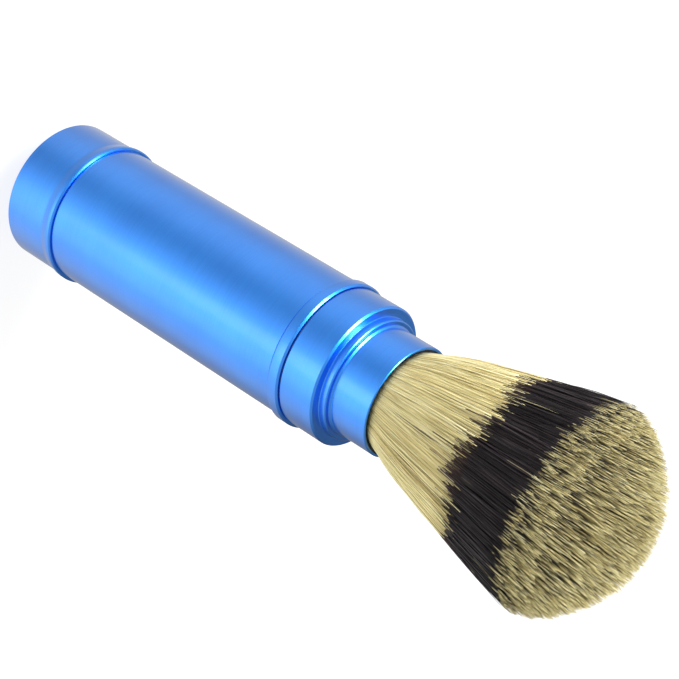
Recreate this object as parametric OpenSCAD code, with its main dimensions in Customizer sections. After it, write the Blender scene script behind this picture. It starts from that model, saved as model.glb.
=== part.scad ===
// Travel brush with a tubular aluminium handle. The head and the end cap screw on.
// It stands on its end cap, with Z up the handle to the bristle tips. Millimetres.
// Every piece is turned about Z, so each is one outline swept round that axis.

/* [Handle tube] */
// Outer diameter of the handle tube
tube_d = 28; // [27:0.5:32]
// Wall thickness of the handle tube
tube_wall = 1; // [0.8:0.1:1.2]
// Length of the handle tube
tube_len = 58.8; // [45:0.1:90]

/* [End cap] */
// Height of the end cap, foot to mouth
cap_h = 13; // [12:0.1:18]
// Thickness of the end cap's floor
cap_floor = 2.5; // [1.5:0.1:3]
// How far the end cap's side stands out from the tube
cap_over = 0.25; // [0.1:0.05:0.6]
// How far the lip at the end cap's mouth stands out from the tube
lip_over = 0.62; // [0.5:0.02:1.2]
// Height of the hollow curve below the lip
cove_h = 1.3; // [0.8:0.1:2]
// Open line between the end cap's mouth and the tube
cap_gap = 0.3; // [0.2:0.05:0.5]
// Thickness of the soft disc on the end cap's floor
liner_h = 1.5; // [1:0.1:2]
// Thickness of the rubber ring under the rear bush
cap_seal_h = 2; // [1:0.1:2.5]

/* [Bush and ring] */
// Length of the threaded bush at the rear of the tube
bush_len = 16; // [14:0.5:20]
// Wall thickness of the rear bush
bush_wall = 1.55; // [1.2:0.05:2]
// Height of the bead at the front of the tube
ring_h = 2.65; // [2:0.05:4]
// How far the bead stands out from the tube
ring_over = 0.58; // [0.3:0.02:1]
// Length of the front ring inside the tube
ring_spigot = 8.1; // [7.5:0.1:10]
// Wall thickness of the front ring inside the tube
ring_wall = 0.8; // [0.7:0.05:0.9]

/* [Head collar] */
// Height of the collar's sleeve
collar_h = 7.7; // [6:0.1:10]
// Thickness of the rubber washer below the collar
washer_h = 0.25; // [0.2:0.05:0.5]
// Length of the screwed spigot below the collar
spigot_len = 6.3; // [5:0.1:7]
// Wall thickness of the screwed spigot
spigot_wall = 1.5; // [1.3:0.1:2]
// Height of the boss in front of the collar
boss_h = 1.55; // [1:0.05:3]
// Pitch of both screw threads
thread_pitch = 1; // [0.75:0.25:1.5]

/* [Ferrule] */
// Outer diameter of the ferrule
ferrule_d = 21.9; // [20:0.1:22.4]
// Height of the ferrule in front of the boss
ferrule_h = 8.35; // [7:0.05:12]
// Wall thickness of the ferrule at its mouth
ferrule_wall = 0.5; // [0.4:0.05:0.8]
// Height of the step at the ferrule's foot
foot_h = 0.5; // [0.3:0.05:0.8]
// How far that step stands out from the ferrule
foot_over = 0.35; // [0.2:0.05:0.4]

/* [Bristle knot] */
// Bristle length in front of the ferrule
loft = 51.1; // [42:0.1:58]
// Widest diameter of the bristles
fan_d = 39.6; // [32:0.1:46]
// Height of the dome over the widest part
dome_h = 13.7; // [8:0.1:18]

/* [Fits] */
// Radial clearance of a screwed or turning fit
thread_gap = 0.05; // [0.03:0.01:0.1]
// Radial thickness of a glue line
glue_gap = 0.05; // [0.02:0.01:0.1]
// Width of the chamfer on an outer edge
edge = 0.5; // [0.3:0.05:0.6]

/* [Hidden] */
anodised = "#3f86e6";

// Radii from the tube inwards
tube_r = tube_d / 2;
insert_r = tube_r - tube_wall - glue_gap;
cap_r = tube_r + cap_over;
lip_r = tube_r + lip_over;
cap_bore_r = insert_r + thread_gap;
bush_bore_r = insert_r - bush_wall;
ring_r = tube_r + ring_over;
ring_bore_r = insert_r - ring_wall;
thread_r = ring_bore_r - thread_gap;
spigot_bore_r = thread_r - spigot_wall;
ferrule_r = ferrule_d / 2;
foot_r = ferrule_r + foot_over;
socket_step = 0.95;
socket_r = ferrule_r - socket_step;
cup_r = ferrule_r - ferrule_wall - glue_gap;
cup_wall = 0.5;
plug_r = cup_r - cup_wall - glue_gap;

// How far the soft pieces stay in from the metal round them
liner_gap = 0.3;
cap_seal_gap = 0.1;
washer_inset = 0.15;

// Heights from the foot up
seal_z = cap_floor + liner_h;
bush_z = seal_z + cap_seal_h;
tube_z = cap_h + cap_gap;
ring_z = tube_z + tube_len;
washer_z = ring_z + ring_h;
collar_z = washer_z + washer_h;
face_z = collar_z + collar_h;
boss_z = face_z + boss_h;
mouth_z = boss_z + ferrule_h;
tip_z = mouth_z + loft;

// The collar's socket for the ferrule, over a solid web
web_h = 2.5;
web_drop = 1.5;
web_z = collar_z - web_drop;
socket_z = web_z + web_h;
stub_wall = 1;
ferrule_stub_r = socket_r - glue_gap;
ferrule_stub_bore_r = ferrule_stub_r - stub_wall;

// The knot's cup, plug and binding inside the ferrule
cup_lift = 1;
cup_floor_h = 1;
cup_recess = 0.4;
cup_z = boss_z + cup_lift;
cup_top_z = mouth_z - cup_recess;
plug_z = cup_z + cup_floor_h;
plug_h = 1.4;
binding_z = plug_z + plug_h;
binding_h = 2;
binding_wall = 1;
root_r = plug_r - binding_wall;
dome_z = tip_z - dome_h;

// Chamfers that are smaller than the usual edge
lip_edge = 0.375;
boss_edge = 0.2;
mouth_edge = 0.15;

// The undercut where a thread ends at a shoulder
relief_w = thread_pitch;
relief_depth = 0.6 * thread_pitch;

// Steps used for a curved outline, and the powers that shape the fan and the dome
curve_steps = 12;
fan_power = 0.77;
dome_power = 2.1;
crown_power = 0.69;

// Points of the trimmed dome, from its widest part to its top
function dome(r, z, h) =
    [for (i = [0:curve_steps]) let (q = cos(90 * i / curve_steps))
        [r * q, z + h * pow(1 - pow(q, dome_power), crown_power)]];

// Points of the hollow curve that leads from radius r0 out to r1 over height h
function cove(r0, r1, z, h) =
    [for (i = [0:curve_steps / 2]) let (a = 180 * i / curve_steps)
        [r1 - (r1 - r0) * cos(a), z + h * sin(a)]];

// Points of the bristles' side, from the ferrule's mouth out to the widest part
function fan(r0, r1, z0, z1) =
    [for (i = [0:curve_steps - 1]) let (t = i / curve_steps)
        [r0 + (r1 - r0) * pow(t, fan_power), z0 + (z1 - z0) * t]];

// A piece turned about Z from its outline of [radius, height] points
module turned(outline) {
    rotate_extrude($fn = 96) polygon(outline);
}

// A plain ring between two radii
module ring(r_in, r_out, z, h) {
    turned([[r_in, z], [r_out, z], [r_out, z + h], [r_in, z + h]]);
}

// Closed aluminium cap with a raised lip at its mouth
module end_cap() {
    color(anodised)
        turned(concat(
            [[0, 0], [cap_r - edge, 0], [cap_r, edge]],
            cove(cap_r, lip_r, cap_h - 2 * edge - cove_h, cove_h),
            [[lip_r, cap_h - edge], [lip_r - lip_edge, cap_h], [cap_bore_r, cap_h],
             [cap_bore_r, cap_floor], [0, cap_floor]]
        ));
}

// Soft disc that the tips rest against when the head is put away in the tube
module cap_liner() {
    color("#3b3f45") ring(0, cap_bore_r - liner_gap, cap_floor, liner_h);
}

// Rubber ring squeezed between the liner's edge and the rear bush
module cap_seal() {
    color("#202124") ring(bush_bore_r, insert_r - cap_seal_gap, seal_z, cap_seal_h);
}

// Threaded bush glued into the rear of the tube
module rear_bush() {
    top = bush_z + bush_len;
    color(anodised)
        turned([
            [bush_bore_r, bush_z], [insert_r - edge, bush_z], [insert_r, bush_z + edge],
            [insert_r, tube_z - relief_w], [insert_r - relief_depth, tube_z - relief_w],
            [insert_r - relief_depth, tube_z], [insert_r, tube_z], [insert_r, top],
            [bush_bore_r, top]
        ]);
}

// Drawn aluminium tube
module handle_tube() {
    color(anodised) ring(insert_r + glue_gap, tube_r, tube_z, tube_len);
}

// Bead with a threaded bore, glued into the front of the tube
module front_ring() {
    low = ring_z - ring_spigot;
    color(anodised)
        turned([
            [ring_bore_r, low], [insert_r, low], [insert_r, ring_z], [ring_r, ring_z],
            [ring_r, washer_z - edge], [ring_r - edge, washer_z], [ring_bore_r, washer_z]
        ]);
}

// Thin rubber washer that the collar closes on
module head_seal() {
    color("#202124") ring(thread_r + 2 * thread_gap, tube_r - washer_inset, washer_z, washer_h);
}

// Screwed collar: spigot below, sleeve, and a plain boss in front
module head_collar() {
    low = collar_z - spigot_len;
    color(anodised)
        turned([
            [0, web_z], [spigot_bore_r, web_z], [spigot_bore_r, low],
            [thread_r - edge, low], [thread_r, low + edge],
            [thread_r, collar_z - relief_w], [thread_r - relief_depth, collar_z - relief_w],
            [thread_r - relief_depth, collar_z], [tube_r, collar_z],
            [tube_r, face_z - edge], [tube_r - edge, face_z], [thread_r, face_z],
            [thread_r, boss_z - boss_edge], [thread_r - boss_edge, boss_z], [socket_r, boss_z],
            [socket_r, socket_z], [0, socket_z]
        ]);
}

// Thin-walled ferrule with a stub that is glued into the collar
module ferrule() {
    bore_r = cup_r + glue_gap;
    color(anodised)
        turned([
            [ferrule_stub_bore_r, socket_z], [ferrule_stub_r, socket_z],
            [ferrule_stub_r, boss_z], [foot_r, boss_z], [ferrule_r, boss_z + foot_h],
            [ferrule_r, mouth_z - mouth_edge], [ferrule_r - mouth_edge, mouth_z], [bore_r, mouth_z],
            [bore_r, cup_z], [ferrule_stub_bore_r, cup_z]
        ]);
}

// Black plastic cup that holds the knot
module knot_cup() {
    inner_r = cup_r - cup_wall;
    color("#15161a")
        turned([
            [0, cup_z], [cup_r, cup_z], [cup_r, cup_top_z], [inner_r, cup_top_z],
            [inner_r, plug_z], [0, plug_z]
        ]);
}

// Resin disc that bonds the bristles' roots
module knot_plug() {
    color("#c9a45c") ring(0, plug_r, plug_z, plug_h);
}

// Thread wound round the bristles' roots
module knot_binding() {
    color("#e8e0c8") ring(root_r + glue_gap, plug_r, binding_z, binding_h);
}

// Envelope of the bristles: a bound root, a fan and a domed top
module bristle_knot() {
    bound_z = binding_z + binding_h;
    color("#d9cd95")
        turned(concat(
            [[0, binding_z], [root_r, binding_z], [root_r, bound_z]],
            fan(plug_r, fan_d / 2, cup_top_z, dome_z),
            dome(fan_d / 2, dome_z, dome_h)
        ));
}

end_cap();
cap_liner();
cap_seal();
rear_bush();
handle_tube();
front_ring();
head_seal();
head_collar();
ferrule();
knot_cup();
knot_plug();
knot_binding();
bristle_knot();
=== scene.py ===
"""Looks for the travel brush: anodised aluminium turnings, screw threads and a knot of straight bristles.

Everything is in metres, in the frame of the CAD model: Z runs up the handle from the foot to the
bristle tips, and the camera stands on the -Y side.
"""
import math

import bpy
import numpy as np
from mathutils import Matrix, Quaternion, Vector


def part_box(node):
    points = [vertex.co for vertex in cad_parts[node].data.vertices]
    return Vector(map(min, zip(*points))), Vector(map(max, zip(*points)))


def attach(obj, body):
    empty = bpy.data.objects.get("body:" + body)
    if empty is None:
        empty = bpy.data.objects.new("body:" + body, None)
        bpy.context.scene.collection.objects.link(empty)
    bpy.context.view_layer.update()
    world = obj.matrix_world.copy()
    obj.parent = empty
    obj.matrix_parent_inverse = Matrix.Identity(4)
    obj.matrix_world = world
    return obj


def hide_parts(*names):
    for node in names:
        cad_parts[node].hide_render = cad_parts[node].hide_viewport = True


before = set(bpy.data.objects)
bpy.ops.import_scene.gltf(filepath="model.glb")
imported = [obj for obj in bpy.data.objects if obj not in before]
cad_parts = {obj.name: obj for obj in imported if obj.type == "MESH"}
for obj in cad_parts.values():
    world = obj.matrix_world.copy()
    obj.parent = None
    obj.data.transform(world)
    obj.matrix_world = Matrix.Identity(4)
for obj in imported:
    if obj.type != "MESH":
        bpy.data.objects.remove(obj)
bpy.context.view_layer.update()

MM = 0.001
rng = np.random.default_rng(20)


# ---------------------------------------------------------------------------------------------
# Places, read from the frame
# ---------------------------------------------------------------------------------------------

def low(node):
    """Height of a CAD node's lowest point, in metres."""
    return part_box(node)[0].z


def high(node):
    """Height of a CAD node's highest point, in metres."""
    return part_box(node)[1].z


def radius(node):
    """Largest radius of a CAD node, in metres."""
    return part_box(node)[1].x


TUBE_R = radius("handle_tube")
TUBE_BASE = low("handle_tube")
TUBE_TOP = high("handle_tube")
LIP_R = radius("end_cap")
CAP_TOP = high("end_cap")
RING_R = radius("front_ring")
RING_TOP = high("front_ring")
FERRULE_TOP = high("ferrule")
TIP = high("bristle_knot")
FAN_R = radius("bristle_knot")

# How far the end cap drops as it screws off, and the height of one turn of any of the threads
CAP_DROP = 7.0 * MM
THREAD_PITCH = 1.0 * MM

# The knot's shape: where it leaves the cup, its trimmed dome, and the powers that curve its side,
# its dome and the dome's crown
MOUTH_Z = high("knot_cup")
EXIT_R = radius("knot_cup") - 1.05 * MM
DOME_Z = TIP - 13.7 * MM
FAN_POWER, DOME_POWER, CROWN_POWER = 0.77, 2.1, 0.69

# Heights at which the hairs change colour, and where each tuft of tips has its middle in its cell
BAND_LOW = 115.6 * MM
BAND_HIGH = 129.3 * MM
TUFT_TABLE = rng.random((61, 61, 2))


# ---------------------------------------------------------------------------------------------
# Camera, lights and floor
# ---------------------------------------------------------------------------------------------

def make_camera():
    """The camera looks down on the brush from the front, rolled so that it lies across the frame."""
    data = bpy.data.cameras.new("camera")
    data.sensor_width = 36
    data.lens = 104.96
    data.clip_start = 0.01
    data.clip_end = 20
    place = Vector((0, -305.1, 261.7)) * MM
    aim = Vector((-3.4, 0, 73.9)) * MM
    camera = bpy.data.objects.new("camera", data)
    camera.location = place
    upright = (aim - place).to_track_quat("-Z", "Y")
    camera.rotation_mode = "QUATERNION"
    camera.rotation_quaternion = upright @ Quaternion((0, 0, 1), math.radians(121.47))
    bpy.context.scene.collection.objects.link(camera)
    bpy.context.scene.camera = camera


def azimuth(degrees, height):
    """A direction, from its angle round from the camera's side towards +X, and its height from -1 to 1."""
    a = math.radians(degrees)
    flat = math.sqrt(1 - height ** 2)
    return Vector((math.sin(a) * flat, -math.cos(a) * flat, height))


# The studio's soft panels: (direction, half width in degrees, brightness, share of it with a soft edge)
PANELS = [
    (Vector((-0.60, -0.27, 0.75)), 25, 2.2, 0.35),
    (Vector((-0.60, -0.27, 0.75)), 16, 18.0, 0.6),
    (azimuth(50, -0.35), 75, 0.52, 1.0),
    (azimuth(42, -0.47), 34, 0.55, 1.0),
    (azimuth(32, -0.47), 15, 0.9, 1.0),
    (azimuth(-68, -0.2), 48, 0.45, 1.0),
]
# Black flags that hold the light back: (direction, half width in degrees, share that they take away)
FLAGS = [(azimuth(160, 0.1), 64, 0.8)]
# An upright gap in the tent: (direction, half width in degrees, share of the light that it takes away)
GAP = (azimuth(-28, 0), 32, 0.14)
AMBIENT = 0.68


def make_world():
    """A light tent: even light, brighter panels, an upright gap beside the camera, and black flags.

    The camera itself sees it as white.
    """
    world = bpy.data.worlds.new("studio")
    world.use_nodes = True
    tree = world.node_tree
    background = tree.nodes["Background"]
    direction = tree.nodes.new("ShaderNodeTexCoord").outputs["Generated"]

    def step(value, start, end):
        node = tree.nodes.new("ShaderNodeMapRange")
        node.interpolation_type = "SMOOTHSTEP"
        tree.links.new(value, node.inputs[0])
        node.inputs[1].default_value, node.inputs[2].default_value = start, end
        return node.outputs[0]

    def dot(vector, other):
        node = tree.nodes.new("ShaderNodeVectorMath")
        node.operation = "DOT_PRODUCT"
        tree.links.new(vector, node.inputs[0])
        node.inputs[1].default_value = other
        return node.outputs["Value"]

    def calculate(operation, a, b):
        node = tree.nodes.new("ShaderNodeMath")
        node.operation = operation
        for socket, value in zip(node.inputs, (a, b)):
            if isinstance(value, (int, float)):
                socket.default_value = value
            else:
                tree.links.new(value, socket)
        return node.outputs[0]

    total = AMBIENT
    for towards, half_width, brightness, soft in PANELS:
        outer = math.cos(math.radians(half_width))
        inner = math.cos(math.radians(half_width * (1 - soft)))
        lobe = step(dot(direction, towards.normalized()), outer, inner)
        total = calculate("ADD", calculate("MULTIPLY", lobe, brightness), total)
    flat = tree.nodes.new("ShaderNodeVectorMath")
    flat.operation = "MULTIPLY"
    tree.links.new(direction, flat.inputs[0])
    flat.inputs[1].default_value = (1, 1, 0)
    unit = tree.nodes.new("ShaderNodeVectorMath")
    unit.operation = "NORMALIZE"
    tree.links.new(flat.outputs[0], unit.inputs[0])
    towards, half_width, taken = GAP
    gap = step(dot(unit.outputs[0], towards), math.cos(math.radians(half_width)), 1.0)
    total = calculate("MULTIPLY", total, calculate("SUBTRACT", 1.0, calculate("MULTIPLY", gap, taken)))
    for towards, half_width, taken in FLAGS:
        lobe = step(dot(direction, towards.normalized()), math.cos(math.radians(half_width)), 1.0)
        total = calculate("MULTIPLY", total, calculate("SUBTRACT", 1.0, calculate("MULTIPLY", lobe, taken)))
    seen = tree.nodes.new("ShaderNodeLightPath").outputs["Is Camera Ray"]
    strength = calculate("MAXIMUM", total, seen)
    tree.links.new(strength, background.inputs["Strength"])
    background.inputs["Color"].default_value = (1, 1, 1, 1)
    bpy.context.scene.world = world
    bpy.context.scene.view_settings.view_transform = "Standard"


def make_floor():
    """A white lit table, low enough for the end cap to come all the way off above it."""
    side, z = 3.0, -CAP_DROP - 0.2 * MM
    mesh = bpy.data.meshes.new("floor")
    mesh.from_pydata([(-side, -side, z), (side, -side, z), (side, side, z), (-side, side, z)],
                     [], [(0, 1, 2, 3)])
    floor = bpy.data.objects.new("floor", mesh)
    bpy.context.scene.collection.objects.link(floor)
    floor.visible_glossy = False
    material = bpy.data.materials.new("paper_sweep")
    material.use_nodes = True
    shader = material.node_tree.nodes["Principled BSDF"]
    shader.inputs["Base Color"].default_value = (0.25, 0.25, 0.25, 1)
    shader.inputs["Roughness"].default_value = 0.9
    shader.inputs["Emission Color"].default_value = (1, 1, 1, 1)
    shader.inputs["Emission Strength"].default_value = 0.82
    mesh.materials.append(material)


# ---------------------------------------------------------------------------------------------
# Materials
# ---------------------------------------------------------------------------------------------

class Nodes:
    """A material's node tree, with short calls for the nodes that the materials below share."""

    def __init__(self, name, roughness, metallic=0.0):
        self.material = bpy.data.materials.new(name)
        self.material.use_nodes = True
        self.tree = self.material.node_tree
        self.shader = self.tree.nodes["Principled BSDF"]
        self.shader.inputs["Roughness"].default_value = roughness
        self.shader.inputs["Metallic"].default_value = metallic

    def add(self, kind, **values):
        node = self.tree.nodes.new(kind)
        for key, value in values.items():
            setattr(node, key, value)
        return node

    def link(self, source, target):
        self.tree.links.new(source, target)

    def math(self, operation, a, b=None):
        """One Math node; a and b are numbers or sockets."""
        node = self.add("ShaderNodeMath", operation=operation)
        for socket, value in zip(node.inputs, (a, b)):
            if value is None:
                continue
            if isinstance(value, (int, float)):
                socket.default_value = value
            else:
                self.link(value, socket)
        return node.outputs[0]

    def place(self):
        """X, Y and Z of the surface point, in metres."""
        coordinates = self.add("ShaderNodeTexCoord")
        split = self.add("ShaderNodeSeparateXYZ")
        self.link(coordinates.outputs["Object"], split.inputs[0])
        return split.outputs

    def noise(self, vector, scale, detail=2.0, rough=0.5, w=None):
        """A noise pattern from 0 to 1; with w it is four-dimensional."""
        node = self.add("ShaderNodeTexNoise", noise_dimensions="3D" if w is None else "4D")
        node.inputs["Scale"].default_value = scale
        node.inputs["Detail"].default_value = detail
        node.inputs["Roughness"].default_value = rough
        self.link(vector, node.inputs["Vector"])
        if w is not None:
            self.link(w, node.inputs["W"])
        return node.outputs["Fac"]

    def attribute(self, name):
        return self.add("ShaderNodeAttribute", attribute_name=name).outputs["Fac"]

    def step(self, value, start, end):
        """Rises smoothly from 0 to 1 as value goes from start to end."""
        node = self.add("ShaderNodeMapRange", interpolation_type="SMOOTHSTEP")
        for socket, x in ((0, value), (1, start), (2, end)):
            if isinstance(x, (int, float)):
                node.inputs[socket].default_value = x
            else:
                self.link(x, node.inputs[socket])
        return node.outputs[0]

    def spread(self, value, start, end, to_low, to_high):
        """Maps value from start..end to to_low..to_high in a straight line, kept inside."""
        node = self.add("ShaderNodeMapRange")
        self.link(value, node.inputs[0])
        for socket, x in zip((1, 2, 3, 4), (start, end, to_low, to_high)):
            node.inputs[socket].default_value = x
        return node.outputs[0]

    def ramp(self, value, stops):
        """A colour ramp; stops are (position, colour)."""
        node = self.add("ShaderNodeValToRGB")
        ramp = node.color_ramp
        while len(ramp.elements) < len(stops):
            ramp.elements.new(0.5)
        for element, (position, colour) in zip(ramp.elements, stops):
            element.position = position
            element.color = (*colour, 1)
        self.link(value, node.inputs[0])
        return node.outputs["Color"]

    def mix(self, share, a, b):
        """Mixes two colours, each a socket or a plain colour, by the share that a socket gives."""
        node = self.add("ShaderNodeMix", data_type="RGBA")
        for socket, value in ((node.inputs[0], share), (node.inputs[6], a), (node.inputs[7], b)):
            if isinstance(value, tuple):
                socket.default_value = (*value, 1)
            else:
                self.link(value, socket)
        return node.outputs[2]

    def bump(self, height, distance, strength):
        node = self.add("ShaderNodeBump")
        node.inputs["Strength"].default_value = strength
        node.inputs["Distance"].default_value = distance
        self.link(height, node.inputs["Height"])
        self.link(node.outputs[0], self.shader.inputs["Normal"])

    def combine(self, x, y, z):
        node = self.add("ShaderNodeCombineXYZ")
        for socket, value in zip(node.inputs, (x, y, z)):
            if isinstance(value, (int, float)):
                socket.default_value = value
            else:
                self.link(value, socket)
        return node.outputs[0]

    def colour(self, socket):
        self.link(socket, self.shader.inputs["Base Color"])

    def roughness(self, socket):
        self.link(socket, self.shader.inputs["Roughness"])


def turned_lines(n):
    """Fine rings left by a lathe: they change quickly along Z and outwards, and slowly around."""
    around = 1.6
    x, y, z = n.place()
    r = n.math("SQRT", n.math("ADD", n.math("MULTIPLY", x, x), n.math("MULTIPLY", y, y)))
    cosine = n.math("DIVIDE", x, n.math("MAXIMUM", r, 1e-5))
    sine = n.math("DIVIDE", y, n.math("MAXIMUM", r, 1e-5))
    per_metre = 7000.0
    vector = n.combine(n.math("MULTIPLY", r, per_metre), n.math("MULTIPLY", z, per_metre),
                       n.math("MULTIPLY", cosine, around))
    return n.noise(vector, 1.0, 3.0, 0.6, w=n.math("MULTIPLY", sine, around))


def anodised():
    """Satin blue anodised aluminium with fine turned rings and a clear oxide skin."""
    n = Nodes("anodised_aluminium", 0.3, 1.0)
    lines = turned_lines(n)
    coordinates = n.add("ShaderNodeTexCoord").outputs["Object"]
    cloud = n.noise(coordinates, 90.0, 3.0)
    grain = n.noise(coordinates, 5200.0, 1.0)
    shade = n.math("ADD", n.math("MULTIPLY", lines, 0.55), n.math("MULTIPLY", cloud, 0.45))
    n.colour(n.ramp(shade, [
        (0.35, (0.006, 0.23, 0.86)), (0.5, (0.009, 0.262, 0.93)), (0.65, (0.013, 0.29, 0.99)),
    ]))
    n.roughness(n.spread(n.math("ADD", lines, n.math("MULTIPLY", grain, 0.5)), 0.4, 1.1, 0.27, 0.38))
    n.bump(n.math("ADD", lines, n.math("MULTIPLY", grain, 0.6)), 0.000005, 1.0)
    n.shader.inputs["Anisotropic"].default_value = 0.55
    tangent = n.add("ShaderNodeTangent", direction_type="RADIAL", axis="Z")
    n.link(tangent.outputs[0], n.shader.inputs["Tangent"])
    n.shader.inputs["Coat Weight"].default_value = 1.0
    n.shader.inputs["Coat Roughness"].default_value = 0.11
    n.shader.inputs["Coat IOR"].default_value = 1.62
    return n.material


def rubber(name, dark, pale):
    """Matt rubber, clouded between two colours."""
    n = Nodes(name, 0.6)
    coordinates = n.add("ShaderNodeTexCoord").outputs["Object"]
    cloud = n.noise(coordinates, 900.0, 4.0)
    n.colour(n.ramp(cloud, [(0.3, dark), (0.7, pale)]))
    n.roughness(n.spread(cloud, 0.3, 0.7, 0.5, 0.75))
    n.bump(cloud, 0.00002, 0.6)
    return n.material


def foam():
    """Closed-cell foam, paler in the cells than in their walls."""
    n = Nodes("liner_foam", 0.9)
    coordinates = n.add("ShaderNodeTexCoord").outputs["Object"]
    cells = n.add("ShaderNodeTexVoronoi")
    cells.inputs["Scale"].default_value = 2600
    n.link(coordinates, cells.inputs["Vector"])
    n.colour(n.ramp(cells.outputs["Distance"], [(0.1, (0.05, 0.052, 0.06)), (0.6, (0.018, 0.018, 0.02))]))
    n.bump(cells.outputs["Distance"], 0.00012, 0.8)
    return n.material


def cup_plastic():
    """Dark moulded plastic with a fine grain."""
    n = Nodes("cup_plastic", 0.42)
    coordinates = n.add("ShaderNodeTexCoord").outputs["Object"]
    grain = n.noise(coordinates, 2400.0, 3.0)
    n.colour(n.ramp(grain, [(0.35, (0.011, 0.015, 0.026)), (0.7, (0.024, 0.032, 0.055))]))
    n.roughness(n.spread(grain, 0.3, 0.7, 0.35, 0.5))
    n.bump(grain, 0.00001, 0.5)
    return n.material


def resin():
    """Amber casting resin."""
    n = Nodes("bond_resin", 0.25)
    coordinates = n.add("ShaderNodeTexCoord").outputs["Object"]
    cloud = n.noise(coordinates, 260.0, 4.0)
    n.colour(n.ramp(cloud, [(0.3, (0.24, 0.12, 0.035)), (0.7, (0.5, 0.32, 0.12))]))
    n.roughness(n.spread(cloud, 0.3, 0.7, 0.2, 0.4))
    n.bump(cloud, 0.00005, 0.4)
    return n.material


def binding_thread():
    """Thread wound round and round: rounded turns that run across Z, painted lighter on their crowns and
    darker in the dips between them.
    """
    n = Nodes("binding_thread", 0.8)
    turn_height = 0.25 * MM
    z = n.place()[2]
    turns = n.math("SINE", n.math("MULTIPLY", z, 2 * math.pi / turn_height))
    coordinates = n.add("ShaderNodeTexCoord").outputs["Object"]
    fibre = n.noise(coordinates, 4000.0, 2.0)
    # Painted light and shade: the turns' wave lightens the crowns and darkens the dips; the fibre noise is
    # the thread's own tone.
    shade = n.math("ADD", n.math("MULTIPLY", turns, 0.3), fibre)
    n.colour(n.ramp(shade, [(0.3, (0.35, 0.3, 0.2)), (0.8, (0.78, 0.72, 0.56))]))
    n.bump(turns, 0.00004, 1.0)
    n.shader.inputs["Sheen Weight"].default_value = 0.3
    return n.material


def hair_lot(n):
    """Each hair's own number from 0 to 1, shaded a little by broad patches."""
    coordinates = n.add("ShaderNodeTexCoord").outputs["Object"]
    patch = n.noise(coordinates, 170.0, 2.0)
    return n.math("ADD", n.math("MULTIPLY", n.attribute("hair"), 0.78), n.math("MULTIPLY", patch, 0.22))


def bristle_cream():
    """Undyed lower hair: cream, with a few amber and brown hairs among it."""
    n = Nodes("bristle_cream", 0.45)
    n.colour(n.ramp(hair_lot(n), [
        (0.08, (0.34, 0.22, 0.075)), (0.14, (0.70, 0.57, 0.24)), (0.45, (0.84, 0.74, 0.35)),
        (0.7, (0.89, 0.81, 0.43)), (0.9, (0.94, 0.89, 0.60)),
    ]))
    n.shader.inputs["Specular IOR Level"].default_value = 0.45
    n.shader.inputs["Sheen Weight"].default_value = 0.1
    return n.material


def bristle_band():
    """The dyed band: near-black, a little purple, with brown where it begins."""
    n = Nodes("bristle_band", 0.38)
    dark = n.ramp(hair_lot(n), [
        (0.1, (0.003, 0.001, 0.002)), (0.6, (0.010, 0.006, 0.008)), (0.82, (0.026, 0.016, 0.021)),
        (0.95, (0.07, 0.046, 0.048)),
    ])
    z = n.place()[2]
    brown = n.math("SUBTRACT", 1.0, n.step(z, BAND_LOW - 2 * MM, BAND_LOW + 3 * MM))
    n.colour(n.mix(n.math("MULTIPLY", brown, 0.55), dark, (0.10, 0.052, 0.03)))
    n.shader.inputs["Specular IOR Level"].default_value = 0.5
    return n.material


def bristle_tips():
    """Pale hair over the band, with painted shade that makes it darker and greyer low down between the
    tips.
    """
    n = Nodes("bristle_tips", 0.5)
    pale = n.ramp(hair_lot(n), [
        (0.08, (0.08, 0.055, 0.02)), (0.2, (0.46, 0.37, 0.135)), (0.5, (0.68, 0.59, 0.26)),
        (0.9, (0.90, 0.84, 0.49)),
    ])
    # Painted shade: each hair is mixed towards dark brown from 0.5 mm to 3.5 mm below its own tip, for the
    # shade low down between the tips.
    painted_tip_shade = n.step(n.attribute("tip"), 0.5 * MM, 3.5 * MM)
    n.colour(n.mix(n.math("MULTIPLY", painted_tip_shade, 0.8), pale, (0.1, 0.073, 0.033)))
    n.shader.inputs["Specular IOR Level"].default_value = 0.35
    n.shader.inputs["Sheen Weight"].default_value = 0.1
    return n.material


def bristle_depth_painted_shade():
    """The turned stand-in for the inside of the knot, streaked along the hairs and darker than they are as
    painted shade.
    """
    n = Nodes("bristle_depth_painted_shade", 0.7)
    x, y, z = n.place()
    angle = n.math("ARCTAN2", y, x)
    streak = n.noise(n.combine(n.math("MULTIPLY", angle, 60.0), 0.0, n.math("MULTIPLY", z, 70.0)), 1.0, 3.0)
    # Painted shade: this cream is kept darker than the hairs' own, for the shade deep inside the knot; the
    # near-black where the band starts is the dye.
    cream = n.ramp(streak, [(0.3, (0.2, 0.13, 0.05)), (0.7, (0.62, 0.48, 0.2))])
    ragged = n.math("ADD", z, n.math("MULTIPLY", streak, 4 * MM))
    dyed = n.step(ragged, BAND_LOW + 1 * MM, BAND_LOW + 3 * MM)
    n.colour(n.mix(dyed, cream, (0.010, 0.006, 0.007)))
    return n.material


# ---------------------------------------------------------------------------------------------
# Turned pieces
# ---------------------------------------------------------------------------------------------

# Steps round a turned piece and round each of its corners
AROUND = 192
FINE_AROUND = 256
ARC_STEPS = 5


def mesh_object(name, points, faces, normals=None):
    """A mesh object from arrays; normals are one to a vertex."""
    mesh = bpy.data.meshes.new(name)
    mesh.from_pydata([tuple(p) for p in points], [], [tuple(f) for f in faces])
    mesh.update()
    mesh.polygons.foreach_set("use_smooth", np.ones(len(mesh.polygons), bool))
    if normals is not None:
        mesh.normals_split_custom_set_from_vertices([tuple(v) for v in normals])
    made = bpy.data.objects.new(name, mesh)
    bpy.context.scene.collection.objects.link(made)
    return made


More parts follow.
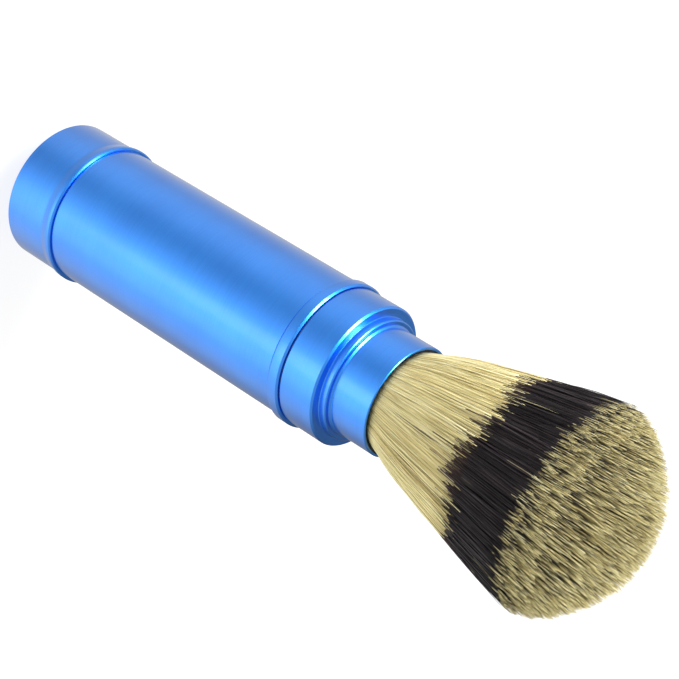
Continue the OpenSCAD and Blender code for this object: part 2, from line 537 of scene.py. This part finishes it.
def rounded(outline):
    """Rounds each corner of a closed outline. Its points are (radius, height, rounding), all in mm.

    Returns points and their outward normals, so that a turned surface shades as exactly as it is made.
    """
    points, normals = [], []
    count = len(outline)
    flat = [np.array(p[:2], float) for p in outline]
    for i in range(count):
        if np.linalg.norm(flat[i] - flat[i - 1]) < 1e-9:
            raise ValueError(f"an outline can't repeat a point, which has no direction: {outline[i]}")
    for i in range(count):
        before, here, after = flat[i - 1], flat[i], flat[(i + 1) % count]
        into = (here - before) / np.linalg.norm(here - before)
        out = (after - here) / np.linalg.norm(after - here)
        turn = math.atan2(into[0] * out[1] - into[1] * out[0], float(into @ out))
        size = outline[i][2]
        if here[0] < 1e-9 or abs(turn) < 1e-3 or size <= 0:
            direction = out if before[0] < 1e-9 and here[0] < 1e-9 else into
            points.append(here)
            normals.append(np.array([direction[1], -direction[0]]))
            continue
        reach = min(size * math.tan(abs(turn) / 2), 0.48 * np.linalg.norm(here - before),
                    0.48 * np.linalg.norm(after - here))
        arc_r = reach / math.tan(abs(turn) / 2)
        side = math.copysign(1.0, turn)
        start = here - into * reach
        centre = start + side * arc_r * np.array([-into[1], into[0]])
        for k in range(ARC_STEPS + 1):
            a = turn * k / ARC_STEPS
            c, s = math.cos(a), math.sin(a)
            along = np.array([into[0] * c - into[1] * s, into[0] * s + into[1] * c])
            normal = np.array([along[1], -along[0]])
            points.append(centre + side * arc_r * normal)
            normals.append(normal)
    return np.array(points) * MM, np.array(normals)


def lathe(name, outline, body, material, node, thread=None, steps=AROUND):
    """Turns a closed outline about Z into a solid.

    thread = (radius, bottom, top, depth), in mm, gives the wall of that radius a screw thread.
    """
    profile, edge_normals = rounded(outline)
    if thread:
        profile, edge_normals = finer(profile, edge_normals, thread)
    angles = np.arange(steps) * 2 * math.pi / steps
    rows = len(profile)
    on_axis = profile[:, 0] < 1e-9
    radial = np.stack([np.cos(angles), np.sin(angles)], 1)
    points, normals, index = [], [], np.zeros((rows, steps), int)
    for i in range(rows):
        r, z = profile[i]
        nr, nz = edge_normals[i]
        if on_axis[i]:
            index[i] = len(points)
            points.append((0, 0, z))
            normals.append((0, 0, nz))
            continue
        index[i] = len(points) + np.arange(steps)
        cut = thread_depth(r, z, angles, thread) if thread else np.zeros(steps)
        points.extend(zip((r + cut) * radial[:, 0], (r + cut) * radial[:, 1], [z] * steps))
        normals.extend(zip(nr * radial[:, 0], nr * radial[:, 1], [nz] * steps))
    faces = []
    for i in range(rows):
        j = (i + 1) % rows
        if on_axis[i] and on_axis[j]:
            continue
        for k in range(steps):
            m = (k + 1) % steps
            corners = [index[i][k], index[i][m], index[j][m], index[j][k]]
            faces.append([c for n, c in enumerate(corners) if c not in corners[:n]])
    made = mesh_object(name, points, faces, None if thread else normals)
    finish(made, body, material, node)


def finer(profile, normals, thread):
    """Adds rows along the threaded stretch of a profile."""
    wall = thread[0] * MM
    per_turn = 10
    out_p, out_n = [], []
    count = len(profile)
    for i in range(count):
        a, b = profile[i], profile[(i + 1) % count]
        out_p.append(a)
        out_n.append(normals[i])
        upright = abs(a[0] - wall) < 1e-6 and abs(b[0] - wall) < 1e-6 and abs(a[1] - b[1]) > THREAD_PITCH
        if upright:
            number = int(round(abs(b[1] - a[1]) / THREAD_PITCH * per_turn))
            for k in range(1, number):
                out_p.append(a + (b - a) * k / number)
                out_n.append(normals[i])
    return np.array(out_p), np.array(out_n)


def thread_depth(r, z, angles, thread):
    """How far the thread moves the wall at height z, at each angle.

    Its tooth is a flat-topped wedge, and it fades in and out over half a turn.
    """
    wall, bottom, top, depth = (x * MM for x in thread)
    if abs(r - wall) > 1e-6 or not bottom < z < top:
        return np.zeros(len(angles))
    phase = (z / THREAD_PITCH - angles / (2 * math.pi)) % 1.0
    tooth = np.clip(1.6 * (0.5 - np.abs(2 * phase - 1) * 0.5) * 2 - 0.2, 0, 1)
    fade = min(1.0, (z - bottom) / (0.5 * THREAD_PITCH), (top - z) / (0.5 * THREAD_PITCH))
    return depth * tooth * fade


def finish(piece, body, material, node):
    """Gives a new piece its material and its body, and hides the CAD node that it replaces."""
    piece.data.materials.append(material)
    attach(piece, body)
    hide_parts(node)


# ---------------------------------------------------------------------------------------------
# The metal pieces
# ---------------------------------------------------------------------------------------------

# Outline points are (radius, height, rounding), in mm, and so are the sizes here
TUBE_WALL = 1.0
CAP_OVER = 0.25
BUSH_WALL = 1.55
BOSS_H = 1.55
SPIGOT_WALL = 1.5
FERRULE_WALL = 0.5
# How deep each thread is cut: outwards into a bore, and inwards, so less than 0, into a spigot
BORE_THREAD = 0.5
CAP_THREAD = 0.45
SPIGOT_THREAD = -0.55
# Lead-in at a thread's end, and the plain groove at its shoulder: height and depth
LEAD_IN = 0.5
GROOVE_H, GROOVE = 1.0, 0.6


def mm(metres):
    return metres / MM


def low_mm(node):
    return mm(low(node))


def make_end_cap(material):
    """The turned cap at the foot: plain side, soft cove, lip, and a threaded bore."""
    top, lip, side = mm(CAP_TOP), mm(LIP_R), mm(TUBE_R) + CAP_OVER
    floor, bore = low_mm("cap_liner"), mm(TUBE_R) - TUBE_WALL
    outline = [
        (0, 0, 0), (side - 0.45, 0, 0.15), (side, 0.45, 0.25), (side, top - 2.6, 3.0),
        (lip, top - 0.95, 0.8), (lip, top - 0.3, 0.06), (lip - 0.26, top, 0.05),
        (bore + 0.35, top, 0.05), (bore, top - 0.35, 0.05),
        (bore, floor, 0.2), (0, floor, 0),
    ]
    lathe("cap_shell", outline, "end_cap", material, "end_cap",
          thread=(bore, low_mm("rear_bush"), top - 0.6, CAP_THREAD))


def make_rear_bush(material):
    """The bush inside the tube's foot, with the thread that the end cap screws on."""
    base, top = low_mm("rear_bush"), mm(high("rear_bush"))
    outer, inner = mm(radius("rear_bush")), mm(radius("rear_bush")) - BUSH_WALL
    shoulder = mm(TUBE_BASE)
    outline = [
        (inner, base, 0.15), (outer - LEAD_IN, base, 0.1), (outer, base + LEAD_IN, 0.1),
        (outer, shoulder - GROOVE_H, 0.05), (outer - GROOVE, shoulder - GROOVE_H, 0.1),
        (outer - GROOVE, shoulder, 0.1), (outer, shoulder, 0.05), (outer, top, 0.1), (inner, top, 0.15),
    ]
    lathe("rear_bush_thread", outline, "handle", material, "rear_bush",
          thread=(outer, base + LEAD_IN, shoulder - 1.1, SPIGOT_THREAD))


def make_tube(material):
    """The tube. It starts just above the end cap's mouth, so that the joint shows as a fine line."""
    base, top, outer = mm(CAP_TOP) + 0.06, mm(TUBE_TOP), mm(TUBE_R)
    inner = outer - TUBE_WALL
    outline = [
        (inner, base, 0.08), (outer, base, 0.05), (outer, top - 0.16, 0.04), (outer - 0.14, top, 0.04),
        (inner, top, 0.05),
    ]
    lathe("tube_skin", outline, "handle", material, "handle_tube", steps=FINE_AROUND)


def make_front_ring(material):
    """The bead at the tube's front, with its spigot in the tube and the bore that the head screws in."""
    base, top = low_mm("front_ring"), mm(RING_TOP)
    joint, bead = mm(TUBE_TOP), mm(RING_R)
    spigot, bore = mm(TUBE_R) - 1.05, mm(TUBE_R) - 1.85
    outline = [
        (bore, base, 0.1), (spigot, base, 0.1), (spigot, joint, 0.03), (mm(TUBE_R) - 0.12, joint, 0.03),
        (mm(TUBE_R) + 0.1, joint + 0.22, 0.04), (bead, joint + 0.3, 0.2), (bead, top - 0.34, 0.06),
        (bead - 0.32, top, 0.06), (bore + 0.3, top, 0.05), (bore, top - 0.3, 0.05),
    ]
    lathe("front_bead", outline, "handle", material, "front_ring",
          thread=(bore, base + 0.4, top - 0.5, BORE_THREAD))


def make_collar(material):
    """The collar: a threaded spigot below, a sleeve, a boss, and a socket for the ferrule."""
    base, crown = low_mm("head_collar"), mm(high("head_collar"))
    shoulder = mm(high("head_seal"))
    face = crown - BOSS_H
    spigot = mm(TUBE_R) - 1.9
    side = mm(TUBE_R)
    socket = mm(radius("ferrule")) - 1.3
    web = shoulder - 1.5
    bore = spigot - SPIGOT_WALL
    outline = [
        (0, web, 0), (bore, web, 0.3), (bore, base, 0.1), (spigot - LEAD_IN, base, 0.05),
        (spigot, base + LEAD_IN, 0.05), (spigot, shoulder - GROOVE_H, 0.05),
        (spigot - GROOVE, shoulder - GROOVE_H, 0.1), (spigot - GROOVE, shoulder, 0.1),
        (side - 0.05, shoulder, 0.02), (side, shoulder + 0.05, 0.04),
        (side, face - 0.34, 0.04), (side - 0.34, face, 0.03), (spigot + 0.02, face, 0.15),
        (spigot, crown - 0.2, 0.06), (spigot - 0.2, crown, 0.06), (socket, crown, 0.05),
        (socket, web + 2.5, 0.1), (0, web + 2.5, 0),
    ]
    lathe("collar_sleeve", outline, "brush_head", material, "head_collar",
          thread=(spigot, base + LEAD_IN, shoulder - 1.1, SPIGOT_THREAD), steps=FINE_AROUND)


def make_ferrule(material):
    """The thin cup that holds the knot, with a small step at its foot and a stub in the collar."""
    foot, base = mm(high("head_collar")), low_mm("ferrule")
    top, side = mm(FERRULE_TOP), mm(radius("ferrule")) - 0.35
    stub = side - 1.0
    outline = [
        (stub - 1.0, base, 0.05), (stub, base, 0.05), (stub, foot, 0.05),
        (side + 0.35, foot, 0.03), (side + 0.33, foot + 0.16, 0.06), (side, foot + 0.5, 0.12),
        (side, top - 0.16, 0.08), (side - 0.14, top, 0.06), (side - FERRULE_WALL, top, 0.08),
        (side - FERRULE_WALL, foot + 1.0, 0.1), (stub - 1.0, foot + 1.0, 0.05),
    ]
    lathe("ferrule_wall", outline, "brush_head", material, "ferrule", steps=FINE_AROUND)


# ---------------------------------------------------------------------------------------------
# Bristles
# ---------------------------------------------------------------------------------------------

# How many hairs: the knot is made in parts round it, each with so many outer and inner hairs
PARTS = 2
OUTER_HAIRS, INNER_HAIRS = 3900, 4000
# A hair's radius, the length over which its tip thins, and how far the tips lean to one side
HAIR_R = 0.09 * MM
TAPER = 7 * MM
SWAY = 0.45 * MM
# How far hairs stray round the knot, in radians, and outwards, as a share; a few stray more
LEAN, SPLAY = 0.014, 0.010
STRAY_SHARE, STRAY_MORE = 0.02, 3
# Two bends of each hair: (size, fewest and most waves along it)
WAVES = ((0.16 * MM, 0.4, 1.1), (0.07 * MM, 1.2, 2.4))
# Shares of the hairs: cut short, dark to the tip between tufts, and never dyed
SHORT_SHARE, DARK_SHARE, UNDYED_SHARE = 0.18, 0.42, 0.012
# Size of a tuft of tips, and how much of the way to its middle they are drawn
TUFT_CELL, TUFT_PULL = 0.62 * MM, 0.42


def envelope(t):
    """Radius of the knot's side at the share t of the way from the cup to the hairs' tips."""
    return EXIT_R + (FAN_R - EXIT_R) * np.clip(t, 0, 1) ** FAN_POWER


def dome_height(q):
    """Height of the trimmed dome at the share q of the widest radius."""
    return DOME_Z + (TIP - DOME_Z) * np.clip(1 - q ** DOME_POWER, 0, 1) ** CROWN_POWER


class Hairs:
    """Hairs from the cup up to the dome: where each is at any height, and where it changes colour.

    share is how far out each hair is, from 0 to 1, and angle is where it is round the knot.
    """

    def __init__(self, share, angle):
        count = len(share)
        self.share, self.angle = share, angle
        self.full = dome_height(share)
        self.shade = rng.random(count)
        self.lean = rng.normal(0, LEAN, count) * np.where(rng.random(count) < STRAY_SHARE, STRAY_MORE, 1)
        self.splay = rng.normal(0, SPLAY, count)
        self.size = HAIR_R * rng.uniform(0.75, 1.2, count)
        self.twist = rng.uniform(0, 2 * math.pi, count)
        self.waves = [
            (rng.normal(0, size, (count, 2)), rng.uniform(fewest, most, count), rng.random(count))
            for size, fewest, most in WAVES
        ]
        self.tuft, between = self.tuft_pull()
        short = rng.normal(-0.3 * MM, 0.3 * MM, count)
        short += np.where(rng.random(count) < SHORT_SHARE, rng.uniform(0.5, 5.5, count) * MM, 0)
        dark = (rng.random(count) < (DARK_SHARE + 0.4 * share ** 3) * between) & (share < 0.985)
        short += np.where(dark, rng.uniform(0.6, 2.2, count) * MM, 0)
        self.top = self.full - short
        drift = 1.5 * MM * np.sin(5 * (angle + 1.03))
        self.low = BAND_LOW + drift + rng.normal(0, 1.3 * MM, count) + self.stragglers(0.16, 3.0 * MM)
        pale = 1.0 * MM + 4.5 * MM * np.clip((1 - share) * 6, 0, 1) + rng.normal(0, 1.1 * MM, count)
        self.high = np.maximum(BAND_HIGH + rng.normal(0, 0.9 * MM, count), self.full - pale)
        self.high += self.stragglers(0.1, 2.5 * MM)
        self.high = np.where(dark, self.full + 1 * MM, self.high)
        undyed = rng.random(count) < UNDYED_SHARE
        self.low = np.where(undyed, self.high, self.low)

    def stragglers(self, part, size):
        """For a part of the hairs, a colour change that comes lower down; 0 for the others."""
        count = len(self.share)
        return -np.where(rng.random(count) < part, rng.exponential(size, count), 0)

    def tuft_pull(self):
        """How far each tip is drawn in X and Y to its tuft's middle, and how far out it was, 0 to 1."""
        tip = FAN_R * self.share[:, None] * np.stack([np.cos(self.angle), np.sin(self.angle)], 1)
        cells = np.floor(tip / TUFT_CELL).astype(int)
        column, row = cells[:, 0] % len(TUFT_TABLE), cells[:, 1] % len(TUFT_TABLE)
        middle = (cells + TUFT_TABLE[column, row]) * TUFT_CELL
        away = np.linalg.norm(middle - tip, axis=1) / TUFT_CELL
        return (middle - tip) * TUFT_PULL, np.clip(2 * away - 0.3, 0, 1)

    def at(self, z):
        """Points of the hairs at heights z, with one row of heights for each hair."""
        t = np.clip((z - MOUTH_Z) / (self.full - MOUTH_Z)[:, None], 0, 1)
        r = envelope(t) * self.share[:, None] * (1 + self.splay[:, None] * t)
        a = self.angle[:, None] + self.lean[:, None] * t
        tuft = self.tuft[:, None, :] * (t ** 4)[:, :, None]
        x = r * np.cos(a) + tuft[:, :, 0] + SWAY * t ** 2
        y = r * np.sin(a) + tuft[:, :, 1]
        for size, number, phase in self.waves:
            wave = np.sin(2 * math.pi * (t * number[:, None] + phase[:, None])) * np.minimum(1, 6 * t)
            x = x + size[:, :1] * wave
            y = y + size[:, 1:] * wave
        return np.stack([x, y, z], 2)

    def tubes(self, name, start, end, segments, material):
        """The hairs' stretch from start to end, as thin closed three-sided tubes in one mesh."""
        keep = end - start > 0.15 * MM
        steps = np.linspace(0, 1, segments + 1)[None, :]
        z = start[:, None] + (end - start)[:, None] * steps
        line = self.at(z)[keep]
        z = z[keep]
        count = len(line)
        along = np.gradient(line, axis=1)
        along /= np.linalg.norm(along, axis=2, keepdims=True)
        across = np.stack([-np.sin(self.angle), np.cos(self.angle), np.zeros(len(self.angle))], 1)[keep]
        out = np.cross(np.broadcast_to(across[:, None, :], along.shape), along)
        across = np.cross(along, out)
        below = self.top[keep][:, None] - z
        thick = self.size[keep][:, None] * (1 - 0.6 * np.clip(1 - below / TAPER, 0, 1) ** 1.5)
        corners = []
        for k in range(3):
            b = self.twist[keep] + 2 * math.pi * k / 3
            turn = np.cos(b)[:, None, None] * across + np.sin(b)[:, None, None] * out
            corners.append(line + thick[:, :, None] * turn)
        points = np.stack(corners, 2).reshape(-1, 3)
        first = np.arange(count)[:, None, None] * (segments + 1) * 3
        row = np.arange(segments)[None, :, None] * 3
        k = np.arange(3)[None, None, :]
        m = (k + 1) % 3
        sides = np.stack([first + row + k, first + row + m, first + row + 3 + m, first + row + 3 + k], 3)
        foot = first[:, 0] + np.array([2, 1, 0])
        head = first[:, 0] + segments * 3 + np.array([0, 1, 2])
        faces = [tuple(f) for f in sides.reshape(-1, 4).tolist() + foot.tolist() + head.tolist()]
        made = mesh_object(name, points, faces)
        for label, values in (("hair", np.repeat(self.shade[keep], (segments + 1) * 3)),
                              ("tip", np.repeat(below.ravel(), 3))):
            attribute = made.data.attributes.new(label, "FLOAT", "POINT")
            attribute.data.foreach_set("value", values.astype(np.float32))
        finish(made, "brush_head", material, "bristle_knot")


def make_bristles():
    """Outer hairs from the cup to the tips, and inner ones from just below where they come into sight.

    Each colour is a mesh of its own, and a hair runs on from one to the next. The inner hairs have
    no cream stretch, since it would be out of sight.
    """
    cream, band, tips = bristle_cream(), bristle_band(), bristle_tips()
    for part in range(PARTS):
        outer = ring_of_hairs(0.86, 1.0, OUTER_HAIRS, part)
        inner = ring_of_hairs(0.0, 0.87, INNER_HAIRS, part)
        for label, hairs, start, segments in (
            ("outer", outer, np.full(OUTER_HAIRS, MOUTH_Z - 1.2 * MM), (7, 4, 4)),
            ("inner", inner, np.maximum(inner.low, inner.full - 15 * MM), (0, 2, 4)),
        ):
            band_start = np.clip(hairs.low, start, hairs.top)
            band_end = np.clip(hairs.high, start, hairs.top)
            number = part + 1
            if segments[0]:
                hairs.tubes(f"bristles_{label}_cream_{number}", start, band_start, segments[0], cream)
            hairs.tubes(f"bristles_{label}_band_{number}", band_start, band_end, segments[1], band)
            hairs.tubes(f"bristles_{label}_tips_{number}", band_end, hairs.top, segments[2], tips)
    make_core()


def ring_of_hairs(nearest, farthest, count, part):
    """One part's hairs, spread evenly between two shares of the knot's radius."""
    share = np.sqrt(rng.uniform(nearest ** 2, farthest ** 2, count))
    return Hairs(share, (part + rng.random(count)) * 2 * math.pi / PARTS)


def make_core():
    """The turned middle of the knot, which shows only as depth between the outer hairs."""
    depth = 1.2
    base, cup = low_mm("bristle_knot"), mm(EXIT_R) - depth
    outline = [(0, base, 0), (cup, base, 0.1), (cup, mm(MOUTH_Z) - 1.0, 0.5)]
    # The corner above is where the side starts, so the side's own first point is left out
    for t in np.linspace(0, 1, 12)[1:]:
        outline.append((mm(envelope(t)) - depth, mm(MOUTH_Z + (DOME_Z - MOUTH_Z) * t) - 1.0, 0.0))
    for q in np.cos(np.radians(np.arange(10, 90, 10))):
        outline.append(((mm(FAN_R) - depth) * q, mm(dome_height(q)) - 1.0 - 4.0 * (1 - q ** 6), 0.0))
    outline.append((0, mm(TIP) - 5.0, 0))
    lathe("bristle_core", outline, "brush_head", bristle_depth_painted_shade(), "bristle_knot")


# ---------------------------------------------------------------------------------------------
# The brush
# ---------------------------------------------------------------------------------------------

def give(node, material):
    """A CAD node whose shape is right keeps it, and gets this material."""
    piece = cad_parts[node]
    piece.data.materials.clear()
    piece.data.materials.append(material)


make_camera()
make_world()
make_floor()

metal = anodised()
make_end_cap(metal)
make_rear_bush(metal)
make_tube(metal)
make_front_ring(metal)
make_collar(metal)
make_ferrule(metal)
give("cap_seal", rubber("seal_rubber_black", (0.008, 0.008, 0.01), (0.02, 0.02, 0.023)))
give("head_seal", rubber("seal_rubber_blue", (0.008, 0.05, 0.2), (0.015, 0.085, 0.3)))
give("cap_liner", foam())
give("knot_cup", cup_plastic())
give("knot_plug", resin())
give("knot_binding", binding_thread())
make_bristles()
